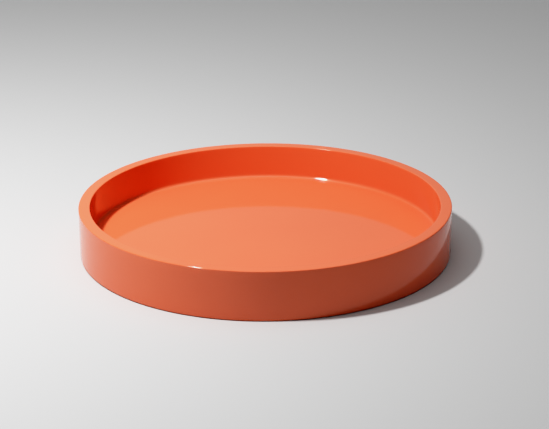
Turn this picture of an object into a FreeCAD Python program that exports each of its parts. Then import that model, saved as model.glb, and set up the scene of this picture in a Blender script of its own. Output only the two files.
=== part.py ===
"""A round lacquered tray for a dresser, as the pieces it is built from.

A hoop of three bent plies stands round a flat base panel. The inner ply is the shortest: its lower edge
and the middle ply make the rebate that holds the panel, which is glued and pinned there. A bead of filler
softens the inside corner, one coat of lacquer covers everything that shows, and a disc of felt is glued
into the shallow recess underneath. Nothing on the tray moves.

Units are millimetres. Z is the tray's axis and points up, and the felt rests on z = 0.
"""

import FreeCAD, Part
import math
import os

from FreeCAD import Vector

# Driving dimensions
tray_radius = 150.0
tray_height = 39.8
lacquer = 0.4
ply = 2.8  # one layer of the hoop: 3 mm bending plywood, sanded
panel_thickness = 9.0
felt_thickness = 2.0
felt_drop = 0.4  # how far the felt stands below the hoop
felt_gap = 0.5  # between the felt and the wall of its recess
edge_radius = 0.8  # the lacquered edges of the rim and of the foot
corner_radius = 2.7  # the lacquered corner between the floor and the wall
filler_leg = 1.8
glue_line = 0.15  # between the two ends of each bent ply
joint_angles = {"outer": 180.0, "middle": 60.0, "inner": 300.0}  # degrees, staggered by a third of a turn
pin_count = 8
pin_radius = 0.6
pin_length = 18.0
pin_head_radius = 1.0
pin_head_depth = 0.8
pin_sink = 1.0  # how far the pin heads are punched below the wood's surface

# Radii of the wood, from the outside in
wood_outer = tray_radius - lacquer
outer_joint = wood_outer - ply
middle_joint = outer_joint - ply
wood_inner = middle_joint - ply
well_radius = wood_inner - lacquer
wood_edge_radius = edge_radius - lacquer

# Heights, from the table up
wood_foot = felt_drop + lacquer
panel_bottom = felt_thickness
panel_top = panel_bottom + panel_thickness
floor_height = panel_top + lacquer
wood_top = tray_height - lacquer

full_turn = 360.0
z_axis = Vector(0, 0, 1)


def point(radius, height):
    """A point of a cross-section, which lies in the XZ plane."""
    return Vector(radius, 0, height)


def line(start, end):
    return Part.LineSegment(start, end).toShape()


def quarter_arc(centre, radius, start_angle, sweep=90):
    """A quarter circle of a cross-section, anticlockwise, or clockwise if the sweep is -90 degrees."""
    places = []
    for angle in (start_angle, start_angle + sweep / 2, start_angle + sweep):
        turn = math.radians(angle)
        places.append(centre + Vector(radius * math.cos(turn), 0, radius * math.sin(turn)))
    return Part.Arc(*places).toShape()


def ends_of(item):
    """Where a corner point or an arc of an outline starts and ends."""
    if isinstance(item, Vector):
        return item, item
    return item.valueAt(item.FirstParameter), item.valueAt(item.LastParameter)


def closed_outline(*items):
    """The closed outline through corner points and arcs, in order, with straight lines between them."""
    edges = []
    for item, following in zip(items, items[1:] + items[:1]):
        if not isinstance(item, Vector):
            edges.append(item)
        edges.append(line(ends_of(item)[1], ends_of(following)[0]))
    return Part.Wire(edges)


def turned(outline):
    """The solid that a cross-section makes when it is turned about the tray's axis."""
    return Part.Face(outline).revolve(Vector(0, 0, 0), z_axis, full_turn)


def bent_ply(outline, joint_angle):
    """One strip of the hoop, whose ends butt at joint_angle with a glue line between them."""
    parting = math.degrees(glue_line / wood_outer)
    strip = Part.Face(outline).revolve(Vector(0, 0, 0), z_axis, full_turn - parting)
    strip.rotate(Vector(0, 0, 0), z_axis, joint_angle + parting / 2)
    return strip


def pin(angle):
    """One headed pin, driven level through the hoop and into the panel's edge."""
    height = panel_bottom + panel_thickness / 2
    head_face = wood_outer - pin_sink
    inward = Vector(-1, 0, 0)
    shank = Part.makeCylinder(pin_radius, pin_length, Vector(head_face, 0, height), inward)
    head = Part.makeCylinder(pin_head_radius, pin_head_depth, Vector(head_face, 0, height), inward)
    whole = shank.fuse(head).removeSplitter()
    whole.rotate(Vector(0, 0, 0), z_axis, angle)
    return whole


def base_pins():
    """The ring of pins, at half steps so that they stay clear of the plies' joints."""
    step = full_turn / pin_count
    return Part.makeCompound([pin((n + 0.5) * step) for n in range(pin_count)])


def hoop_outer_ply():
    """The outside of the hoop, with its upper and lower edges rounded over."""
    r = wood_edge_radius
    outline = closed_outline(
        point(outer_joint, wood_foot),
        quarter_arc(point(wood_outer - r, wood_foot + r), r, -90),
        quarter_arc(point(wood_outer - r, wood_top - r), r, 0),
        point(outer_joint, wood_top),
    )
    return bent_ply(outline, joint_angles["outer"])


def hoop_middle_ply():
    outline = closed_outline(
        point(middle_joint, wood_foot),
        point(outer_joint, wood_foot),
        point(outer_joint, wood_top),
        point(middle_joint, wood_top),
    )
    return bent_ply(outline, joint_angles["middle"])


def hoop_inner_ply():
    """The inside of the hoop, which stops on top of the panel and so makes its rebate."""
    r = wood_edge_radius
    outline = closed_outline(
        point(wood_inner, panel_top),
        point(middle_joint, panel_top),
        point(middle_joint, wood_top),
        quarter_arc(point(wood_inner + r, wood_top - r), r, 90),
    )
    return bent_ply(outline, joint_angles["inner"])


def base_panel():
    return Part.makeCylinder(middle_joint, panel_thickness, point(0, panel_bottom))


def corner_filler():
    outline = closed_outline(
        point(wood_inner, panel_top),
        point(wood_inner, panel_top + filler_leg),
        point(wood_inner - filler_leg, panel_top),
    )
    return turned(outline)


def lacquer_coat():
    """The continuous skin: under the foot, up the outside, over the rim, down inside and over the floor."""
    r = edge_radius
    c = corner_radius
    w = wood_edge_radius
    outline = closed_outline(
        point(middle_joint, wood_foot),
        point(middle_joint, felt_drop),
        quarter_arc(point(tray_radius - r, felt_drop + r), r, -90),
        quarter_arc(point(tray_radius - r, tray_height - r), r, 0),
        quarter_arc(point(well_radius + r, tray_height - r), r, 90),
        quarter_arc(point(well_radius - c, floor_height + c), c, 0, -90),
        point(0, floor_height),
        point(0, panel_top),
        point(wood_inner - filler_leg, panel_top),
        point(wood_inner, panel_top + filler_leg),
        quarter_arc(point(wood_inner + w, wood_top - w), w, 180, -90),
        quarter_arc(point(wood_outer - w, wood_top - w), w, 90, -90),
        quarter_arc(point(wood_outer - w, wood_foot + w), w, 0, -90),
    )
    return turned(outline)


def base_felt():
    return Part.makeCylinder(middle_joint - felt_gap, felt_thickness)


def main():
    pins = base_pins()
    parts = {
        "hoop_outer_ply": hoop_outer_ply().cut(pins),
        "hoop_middle_ply": hoop_middle_ply().cut(pins),
        "hoop_inner_ply": hoop_inner_ply(),
        "base_panel": base_panel().cut(pins),
        "base_pins": pins,
        "corner_filler": corner_filler(),
        "lacquer_coat": lacquer_coat(),
        "base_felt": base_felt(),
    }
    os.makedirs("parts", exist_ok=True)
    for name, shape in parts.items():
        shape.exportStep(f"parts/{name}.step")
        print(f"{name}: {len(shape.Solids)} solid(s), {shape.Volume / 1000:.2f} cm3, valid {shape.isValid()}")


main()
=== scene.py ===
"""The looks of a round lacquered dresser tray: its coat of coral lacquer, its felt, and the wood inside."""

import math

import bmesh
import bpy
from mathutils import Matrix, Vector, noise


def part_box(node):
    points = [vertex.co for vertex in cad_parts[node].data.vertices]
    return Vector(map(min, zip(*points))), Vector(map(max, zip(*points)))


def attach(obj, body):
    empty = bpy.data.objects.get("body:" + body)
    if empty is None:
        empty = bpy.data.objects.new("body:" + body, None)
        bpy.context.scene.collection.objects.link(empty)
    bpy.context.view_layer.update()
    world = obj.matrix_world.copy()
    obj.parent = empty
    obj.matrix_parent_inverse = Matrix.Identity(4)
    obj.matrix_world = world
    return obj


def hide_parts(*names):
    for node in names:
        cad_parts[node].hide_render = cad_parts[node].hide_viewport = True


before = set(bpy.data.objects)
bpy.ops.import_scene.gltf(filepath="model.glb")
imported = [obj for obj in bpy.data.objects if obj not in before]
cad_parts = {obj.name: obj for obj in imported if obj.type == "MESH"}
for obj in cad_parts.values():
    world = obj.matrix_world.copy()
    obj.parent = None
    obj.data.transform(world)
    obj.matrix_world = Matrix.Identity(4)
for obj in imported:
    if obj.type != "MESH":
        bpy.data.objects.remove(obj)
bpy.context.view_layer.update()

# Sizes, in metres, read from the parts in model.glb
coat_low, coat_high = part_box("lacquer_coat")
outer_ply_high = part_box("hoop_outer_ply")[1]
filler_low, filler_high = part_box("corner_filler")
felt_low, felt_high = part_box("base_felt")

tray_radius = coat_high.x
rim_height = coat_high.z
foot_height = coat_low.z
coat_thickness = tray_radius - outer_ply_high.x
recess_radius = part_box("base_panel")[1].x
panel_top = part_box("base_panel")[1].z
wood_radius = filler_high.x
well_radius = wood_radius - coat_thickness
floor_height = panel_top + coat_thickness
filler_leg = filler_high.z - filler_low.z
felt_radius = felt_high.x

# Rounded edges and corner of the coat, in metres, as in the CAD
edge_radius = 0.0008
corner_radius = 0.0027

# Fineness of the lathed pieces
turn_steps = 512
arc_steps = 8
wall_steps = 10
floor_steps = 44
tiny = 1e-6  # metres: places closer than this are the same


def arc(centre, radius, start, sweep, steps=arc_steps):
    """Points of a cross-section's arc, as (distance from the axis, height). Angles are in degrees."""
    points = []
    for step in range(steps + 1):
        angle = math.radians(start + sweep * step / steps)
        points.append((centre[0] + radius * math.cos(angle), centre[1] + radius * math.sin(angle)))
    return points


def run(start, end, steps):
    """Points strictly between start and end, which divide a straight stretch evenly."""
    return [
        (start[0] + (end[0] - start[0]) * n / steps, start[1] + (end[1] - start[1]) * n / steps)
        for n in range(1, steps)
    ]


def lathe(name, profile, closed, shift):
    """A smooth mesh made by turning the profile about Z. shift(point) returns a vertex's final place."""
    mesh = bmesh.new()
    rings = []
    for radius, height in profile:
        if radius < tiny:
            rings.append([mesh.verts.new(shift(Vector((0, 0, height))))])
            continue
        ring = []
        for step in range(turn_steps):
            turn = 2 * math.pi * step / turn_steps
            place = Vector((radius * math.cos(turn), radius * math.sin(turn), height))
            ring.append(mesh.verts.new(shift(place)))
        rings.append(ring)
    pairs = list(zip(rings, rings[1:]))
    if closed:
        pairs.append((rings[-1], rings[0]))
    for lower, upper in pairs:
        for step in range(turn_steps):
            ahead = (step + 1) % turn_steps
            corners = [lower[step % len(lower)], lower[ahead % len(lower)]]
            corners += [upper[ahead % len(upper)], upper[step % len(upper)]]
            kept = list(dict.fromkeys(corners))
            if len(kept) > 2:
                mesh.faces.new(kept)
    bmesh.ops.recalc_face_normals(mesh, faces=mesh.faces)
    data = bpy.data.meshes.new(name)
    mesh.to_mesh(data)
    mesh.free()
    data.shade_smooth()
    piece = bpy.data.objects.new(name, data)
    bpy.context.scene.collection.objects.link(piece)
    return piece


def coat_profile():
    """The lacquer's closed cross-section: from the foot over the rim to the floor, and its back."""
    r = edge_radius
    c = corner_radius
    w = edge_radius - coat_thickness
    wood_outer = tray_radius - coat_thickness
    wood_foot = foot_height + coat_thickness
    wood_top = rim_height - coat_thickness
    profile = [(recess_radius, wood_foot), (recess_radius, foot_height)]
    foot = arc((tray_radius - r, foot_height + r), r, -90, 90)
    rim_out = arc((tray_radius - r, rim_height - r), r, 0, 90)
    rim_in = arc((well_radius + r, rim_height - r), r, 90, 90)
    corner = arc((well_radius - c, floor_height + c), c, 0, -90)
    profile += run(profile[-1], foot[0], 3) + foot
    profile += run(foot[-1], rim_out[0], wall_steps) + rim_out
    profile += run(rim_out[-1], rim_in[0], 5) + rim_in
    profile += run(rim_in[-1], corner[0], wall_steps) + corner
    profile += run(corner[-1], (0, floor_height), floor_steps) + [(0, floor_height), (0, panel_top)]
    profile += [(wood_radius - filler_leg, panel_top), (wood_radius, panel_top + filler_leg)]
    profile += arc((wood_radius + w, wood_top - w), w, 180, -90, 3)
    profile += arc((wood_outer - w, wood_top - w), w, 90, -90, 3)
    profile += arc((wood_outer - w, wood_foot + w), w, 0, -90, 3)
    return profile


def lacquer_piece():
    """The coat, with the faint unevenness that rubbing down and spraying leave on its floor."""
    swell = 0.00002
    wavelength = 0.045
    fade = 0.01  # over which the swell dies away towards the corner

    def uneven(place):
        if abs(place.z - floor_height) > tiny:
            return place
        wave = noise.noise(place / wavelength)
        from_corner = well_radius - corner_radius - Vector((place.x, place.y)).length
        share = max(0, min(1, from_corner / fade))
        return place + Vector((0, 0, swell * wave * share))

    return lathe("lacquer", coat_profile(), True, uneven)


def felt_piece():
    """The felt: a punched disc with a soft lower edge and a matted face."""
    thickness = felt_high.z - felt_low.z
    edge = 0.0006
    nap = 0.00025
    tuft_size = 0.0035
    lump_size = 0.02
    face_steps = 160
    back_steps = 12
    upper_edge = (felt_radius, thickness)
    lower = arc((felt_radius - edge, edge), edge, -90, 90, 5)
    profile = [(0, 0)] + run((0, 0), lower[0], face_steps) + lower + run(lower[-1], upper_edge, 4)
    profile += [upper_edge] + run(upper_edge, (0, thickness), back_steps) + [(0, thickness)]

    def matted(place):
        tuft = 0.5 + 0.5 * noise.noise(place / tuft_size)
        lump = 0.5 + 0.5 * noise.noise(place / lump_size)
        share = nap * (0.6 * tuft + 0.4 * lump)
        if place.z > 0.9 * thickness:
            return place
        across = Vector((place.x, place.y, 0))
        if across.length > felt_radius - edge:
            return place - across.normalized() * share
        return place + Vector((0, 0, share))

    return lathe("felt", profile, False, matted)


def new_material(name):
    """A material with nodes; returns it with its node tree and its Principled shader."""
    material = bpy.data.materials.new(name)
    material.use_nodes = True
    tree = material.node_tree
    return material, tree, tree.nodes["Principled BSDF"]


def add(tree, kind, inputs, **settings):
    """A new node. Each input is given its value, or the output of another node that feeds it."""
    node = tree.nodes.new(kind)
    for name, value in settings.items():
        setattr(node, name, value)
    for name, value in inputs.items():
        if isinstance(value, bpy.types.NodeSocket):
            tree.links.new(value, node.inputs[name])
        else:
            node.inputs[name].default_value = value
    return node


def calculate(tree, operation, *values):
    return add(tree, "ShaderNodeMath", dict(enumerate(values)), operation=operation).outputs["Value"]


def place_on_piece(tree):
    """Each point's place on the piece, in metres."""
    return add(tree, "ShaderNodeTexCoord", {}).outputs["Object"]


def place_round_axis(tree, along, outward, upward):
    """Each point's place measured round the tray's axis, outward from it and up, each stretched as given."""
    parts = add(tree, "ShaderNodeSeparateXYZ", {"Vector": place_on_piece(tree)}).outputs
    across = calculate(tree, "ARCTAN2", parts["Y"], parts["X"])
    squares = [calculate(tree, "MULTIPLY", parts[axis], parts[axis]) for axis in "XY"]
    radius = calculate(tree, "SQRT", calculate(tree, "ADD", *squares))
    stretched = {
        "X": calculate(tree, "MULTIPLY", across, along * tray_radius),
        "Y": calculate(tree, "MULTIPLY", radius, outward),
        "Z": calculate(tree, "MULTIPLY", parts["Z"], upward),
    }
    return add(tree, "ShaderNodeCombineXYZ", stretched).outputs["Vector"]


def cloud(tree, place, wavelength, detail=2.0, roughness=0.5):
    """Smooth random variation, from 0 to 1."""
    inputs = {"Vector": place, "Scale": 1 / wavelength, "Detail": detail, "Roughness": roughness}
    return add(tree, "ShaderNodeTexNoise", inputs).outputs["Fac"]


def spread(tree, value, low, high, start=0.3, end=0.7):
    """The value, which lies mostly between start and end, brought to between low and high."""
    inputs = {"Value": value, "From Min": start, "From Max": end, "To Min": low, "To Max": high}
    return add(tree, "ShaderNodeMapRange", inputs).outputs["Result"]


def between(tree, share, first, second):
    """The colour that lies this share of the way from the first to the second."""
    node = add(tree, "ShaderNodeMix", {"Factor": share}, data_type="RGBA")
    for name, colour in (("A", first), ("B", second)):
        socket = next(s for s in node.inputs if s.name == name and s.type == "RGBA")
        if isinstance(colour, bpy.types.NodeSocket):
            tree.links.new(colour, socket)
        else:
            socket.default_value = (*colour, 1)
    return next(s for s in node.outputs if s.type == "RGBA")


def relief(tree, shader, height, depth, under=None):
    """Bumps of this depth, in metres, on the shader's surface, or on top of the bumps given."""
    inputs = {"Height": height, "Distance": depth, "Strength": 1.0}
    if under:
        inputs["Normal"] = under
    bumps = add(tree, "ShaderNodeBump", inputs).outputs["Normal"]
    tree.links.new(bumps, shader.inputs["Normal"])
    return bumps


def lacquer_material():
    """Sprayed and buffed coral lacquer: slight mottling, orange peel and buffing marks round the tray."""
    material, tree, shader = new_material("coral_lacquer")
    shader.inputs["IOR"].default_value = 1.5
    place = place_on_piece(tree)
    drift = between(tree, cloud(tree, place, 0.07), (0.850, 0.175, 0.085), (0.880, 0.190, 0.092))
    mottle = spread(tree, cloud(tree, place, 0.0012), 0.0, 0.05)
    tree.links.new(between(tree, mottle, drift, (0.70, 0.11, 0.045)), shader.inputs["Base Color"])
    buffing = cloud(tree, place_round_axis(tree, 6, 300, 300), 0.25, detail=3)
    smears = cloud(tree, place, 0.03, detail=4)
    polish = calculate(tree, "ADD", spread(tree, smears, 0.05, 0.065), spread(tree, buffing, 0, 0.012))
    tree.links.new(polish, shader.inputs["Roughness"])
    peel = relief(tree, shader, cloud(tree, place, 0.0035, detail=1), 0.000008)
    relief(tree, shader, buffing, 0.0000004, under=peel)
    return material


def felt_material():
    """Charcoal pressed felt: matted fibres, some of them paler, with a soft nap."""
    material, tree, shader = new_material("charcoal_felt")
    shader.inputs["Sheen Weight"].default_value = 0.35
    shader.inputs["Sheen Roughness"].default_value = 0.5
    shader.inputs["Specular IOR Level"].default_value = 0.2
    place = place_on_piece(tree)
    bend = add(tree, "ShaderNodeTexNoise", {"Vector": place, "Scale": 400.0, "Detail": 2.0}).outputs["Color"]
    inputs = {0: bend, 1: (0.004, 0.004, 0.004), 2: place}
    bent = add(tree, "ShaderNodeVectorMath", inputs, operation="MULTIPLY_ADD").outputs["Vector"]
    matted = cloud(tree, bent, 0.0022, detail=6, roughness=0.7)
    fibres = add(tree, "ShaderNodeTexVoronoi", {"Vector": bent, "Scale": 900.0}, feature="DISTANCE_TO_EDGE")
    strand = spread(tree, fibres.outputs["Distance"], 1, 0, 0.0, 0.12)
    wool = between(tree, spread(tree, matted, 0, 1), (0.030, 0.027, 0.027), (0.075, 0.068, 0.068))
    pale = calculate(tree, "MULTIPLY", strand, spread(tree, cloud(tree, place, 0.005), 0, 0.35))
    tree.links.new(between(tree, pale, wool, (0.16, 0.15, 0.15)), shader.inputs["Base Color"])
    tree.links.new(spread(tree, matted, 0.85, 1.0), shader.inputs["Roughness"])
    nap = relief(tree, shader, matted, 0.0004)
    relief(tree, shader, strand, 0.00008, under=nap)
    return material


def plywood_material():
    """Birch for bending: upright grain, with darker pores and rings of the growth."""
    material, tree, shader = new_material("birch_plywood")
    grain_place = place_round_axis(tree, 1, 1, 0.06)
    rings = cloud(tree, grain_place, 0.006, detail=3)
    pores = spread(tree, cloud(tree, grain_place, 0.0007, detail=4, roughness=0.7), 0, 1, 0.5, 0.75)
    blond = between(tree, spread(tree, rings, 0, 1), (0.62, 0.45, 0.28), (0.80, 0.64, 0.45))
    tree.links.new(between(tree, pores, blond, (0.42, 0.27, 0.14)), shader.inputs["Base Color"])
    tree.links.new(spread(tree, rings, 0.55, 0.7), shader.inputs["Roughness"])
    relief(tree, shader, pores, -0.00006)
    return material


def fibreboard_material():
    """Fine fibreboard: short packed fibres, even in colour from a distance."""
    material, tree, shader = new_material("fibreboard")
    place = place_on_piece(tree)
    fibres = cloud(tree, place, 0.0016, detail=6, roughness=0.75)
    patches = cloud(tree, place, 0.03)
    light = between(tree, spread(tree, patches, 0, 1), (0.57, 0.43, 0.29), (0.64, 0.50, 0.35))
    share = spread(tree, fibres, 0.4, 0, 0.35, 0.55)
    tree.links.new(between(tree, share, light, (0.36, 0.25, 0.15)), shader.inputs["Base Color"])
    tree.links.new(spread(tree, fibres, 0.75, 0.9), shader.inputs["Roughness"])
    relief(tree, shader, fibres, 0.00008)
    return material


def filler_material():
    """Sanded filler: chalky, with fine scratches round the corner where the paper ran."""
    material, tree, shader = new_material("sanded_filler")
    scratches = cloud(tree, place_round_axis(tree, 0.03, 1, 1), 0.0004, detail=3)
    chalk = cloud(tree, place_on_piece(tree), 0.004, detail=5)
    colour = between(tree, spread(tree, chalk, 0, 1), (0.74, 0.66, 0.52), (0.84, 0.77, 0.63))
    tree.links.new(colour, shader.inputs["Base Color"])
    tree.links.new(spread(tree, scratches, 0.7, 0.9), shader.inputs["Roughness"])
    relief(tree, shader, scratches, 0.00003)
    return material


def pin_material():
    """Bright drawn wire: fine lines along each pin, which points at the tray's axis, and dull patches."""
    material, tree, shader = new_material("drawn_wire")
    shader.inputs["Metallic"].default_value = 1.0
    lines = cloud(tree, place_round_axis(tree, 1, 0.02, 1), 0.00012, detail=3)
    patches = cloud(tree, place_on_piece(tree), 0.002, detail=4)
    colour = between(tree, spread(tree, patches, 0, 1), (0.62, 0.62, 0.63), (0.50, 0.49, 0.48))
    tree.links.new(colour, shader.inputs["Base Color"])
    worn = calculate(tree, "ADD", spread(tree, lines, 0.22, 0.36), spread(tree, patches, 0, 0.12))
    tree.links.new(worn, shader.inputs["Roughness"])
    relief(tree, shader, lines, 0.00001)
    return material


def wear(piece, material):
    piece.data.materials.clear()
    piece.data.materials.append(material)


def add_lacquer():
    lacquer = lacquer_piece()
    wear(lacquer, lacquer_material())
    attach(lacquer, "root")
    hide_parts("lacquer_coat")


def add_felt():
    felt = felt_piece()
    wear(felt, felt_material())
    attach(felt, "root")
    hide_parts("base_felt")


def finish_wood_and_steel():
    """Materials for the pieces under the lacquer, whose shapes stay as they are."""
    plywood = plywood_material()
    finishes = {
        "hoop_outer_ply": plywood,
        "hoop_middle_ply": plywood,
        "hoop_inner_ply": plywood,
        "base_panel": fibreboard_material(),
        "corner_filler": filler_material(),
        "base_pins": pin_material(),
    }
    for name, material in finishes.items():
        wear(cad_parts[name], material)


def studio_floor():
    """A plain pale table under the tray."""
    half = 6.0
    corners = [(-half, -half, 0), (half, -half, 0), (half, half, 0), (-half, half, 0)]
    data = bpy.data.meshes.new("studio_floor")
    data.from_pydata(corners, [], [(0, 1, 2, 3)])
    table = bpy.data.objects.new("studio_floor", data)
    bpy.context.scene.collection.objects.link(table)
    material, tree, shader = new_material("pale_table")
    shader.inputs["Base Color"].default_value = (0.55, 0.55, 0.55, 1)
    shader.inputs["Roughness"].default_value = 0.9
    shader.inputs["Specular IOR Level"].default_value = 0.2
    data.materials.append(material)


def glow(tree, azimuth, elevation, strength):
    """Soft light from one side of the room, which fades with the angle from its middle, in degrees."""
    full_within = 10
    none_beyond = 45
    turn = math.radians(azimuth)
    rise = math.radians(elevation)
    middle = (math.cos(turn) * math.cos(rise), math.sin(turn) * math.cos(rise), math.sin(rise))
    direction = add(tree, "ShaderNodeTexCoord", {}).outputs["Generated"]
    nearness = add(tree, "ShaderNodeVectorMath", {0: direction, 1: middle}, operation="DOT_PRODUCT")
    inputs = {
        "Value": nearness.outputs["Value"],
        "From Min": math.cos(math.radians(none_beyond)),
        "From Max": math.cos(math.radians(full_within)),
        "To Max": strength,
    }
    return add(tree, "ShaderNodeMapRange", inputs, interpolation_type="SMOOTHSTEP").outputs["Result"]


def studio_room():
    """A dim room with a broad soft light overhead and a weak one low behind the tray."""
    world = bpy.data.worlds.new("studio")
    world.use_nodes = True
    bpy.context.scene.world = world
    tree = world.node_tree
    dim_room = 0.04
    overhead = glow(tree, 0, 90, 1.1)
    behind = glow(tree, 110, 15, 0.28)
    room = calculate(tree, "ADD", calculate(tree, "ADD", overhead, behind), dim_room)
    tree.links.new(room, tree.nodes["Background"].inputs["Strength"])
    tree.nodes["Background"].inputs["Color"].default_value = (1, 1, 1, 1)


def studio_key():
    """A small disc of light up and to the viewer's left, turned away so that it falls off to the right."""
    data = bpy.data.lights.new("key", "AREA")
    data.shape = "DISK"
    data.size = 0.085
    data.energy = 9.1
    key = bpy.data.objects.new("key", data)
    key.location = (-0.361, -0.163, 0.778)
    target = Vector((-0.5, 0.2, 0))
    aim = target - key.location
    key.rotation_euler = aim.to_track_quat("-Z", "Y").to_euler()
    bpy.context.scene.collection.objects.link(key)


def studio_tones():
    """The response of film: deep shadows and a soft shoulder, in red, green and blue alike."""
    black = 0.015
    contrast = 1.35
    speed = 2.15
    brightest = 2.0
    steps = 16
    view = bpy.context.scene.view_settings
    view.view_transform = "Standard"
    view.use_curve_mapping = True
    mapping = view.curve_mapping
    mapping.use_clip = False
    points = mapping.curves[3].points
    points[0].location = (0, 0)
    points[1].location = (brightest, 1)
    for step in range(1, steps):
        light = brightest * (step / steps) ** 2
        exposure = max(0, light - black) ** contrast
        points.new(light, 1 - math.exp(-speed * exposure))
    for point in points:
        point.handle_type = "AUTO_CLAMPED"
    mapping.update()


def studio_camera():
    """A long lens, far off and a little above the tray."""
    data = bpy.data.cameras.new("camera")
    data.lens = 113.84
    data.sensor_width = 36
    camera = bpy.data.objects.new("camera", data)
    eye = Vector((0.0495, -8.771, 3.457)) * tray_radius
    downward = 20.447  # degrees below level
    lean = -0.227  # degrees about the line of sight
    place = Matrix.Translation(eye)
    pitch = Matrix.Rotation(math.radians(90 - downward), 4, "X")
    roll = Matrix.Rotation(math.radians(lean), 4, "Z")
    camera.matrix_world = place @ pitch @ roll
    data.clip_start = 0.01
    bpy.context.scene.collection.objects.link(camera)
    bpy.context.scene.camera = camera


add_lacquer()
add_felt()
finish_wood_and_steel()
studio_floor()
studio_room()
studio_key()
studio_camera()
studio_tones()
